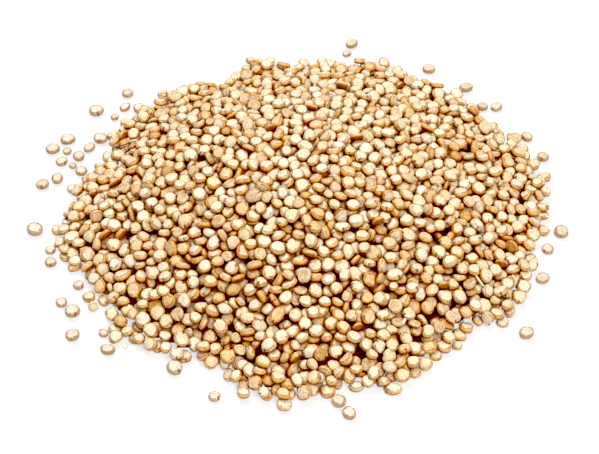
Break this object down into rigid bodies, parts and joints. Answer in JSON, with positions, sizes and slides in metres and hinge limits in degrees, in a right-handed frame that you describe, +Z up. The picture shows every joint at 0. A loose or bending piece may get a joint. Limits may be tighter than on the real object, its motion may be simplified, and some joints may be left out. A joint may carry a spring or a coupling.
{
  "type": "heap of quinoa",
  "caption": "Low loose heap of dry white quinoa, roughly round in plan with an uneven edge, with single stray grains lying flat around it.",
  "frame": {"origin": "on the surface it lies on, under the middle of the whole spread of heap and stray grains", "axes": "+Z up, +X to the right and -Y towards someone looking at the side shown"},
  "size_m": [0.0824, 0.081, 0.0128],
  "materials": {
    "quinoa": "dry seed coats in a heap, ivory to golden tan, satin, with darker gaps",
    "quinoa_loose": "single dry seeds, ivory faces with a tan rim, satin"
  },
  "bodies": {
    "root": {"quinoa_heap": "quinoa", "stray_01": "quinoa_loose", "stray_02": "quinoa_loose", "stray_03": "quinoa_loose", "stray_04": "quinoa_loose", "stray_05": "quinoa_loose", "stray_06": "quinoa_loose", "stray_07": "quinoa_loose", "stray_08": "quinoa_loose", "stray_09": "quinoa_loose", "stray_10": "quinoa_loose", "stray_11": "quinoa_loose", "stray_12": "quinoa_loose", "stray_13": "quinoa_loose", "stray_14": "quinoa_loose", "stray_15": "quinoa_loose", "stray_16": "quinoa_loose", "stray_17": "quinoa_loose", "stray_18": "quinoa_loose", "stray_19": "quinoa_loose", "stray_20": "quinoa_loose", "stray_21": "quinoa_loose", "stray_22": "quinoa_loose", "stray_23": "quinoa_loose", "stray_24": "quinoa_loose", "stray_25": "quinoa_loose", "stray_26": "quinoa_loose", "stray_27": "quinoa_loose", "stray_28": "quinoa_loose", "stray_29": "quinoa_loose", "stray_30": "quinoa_loose", "stray_31": "quinoa_loose", "stray_32": "quinoa_loose", "stray_33": "quinoa_loose", "stray_34": "quinoa_loose", "stray_35": "quinoa_loose", "stray_36": "quinoa_loose", "stray_37": "quinoa_loose", "stray_38": "quinoa_loose", "stray_39": "quinoa_loose", "stray_40": "quinoa_loose", "stray_41": "quinoa_loose"}
  },
  "joints": []
}
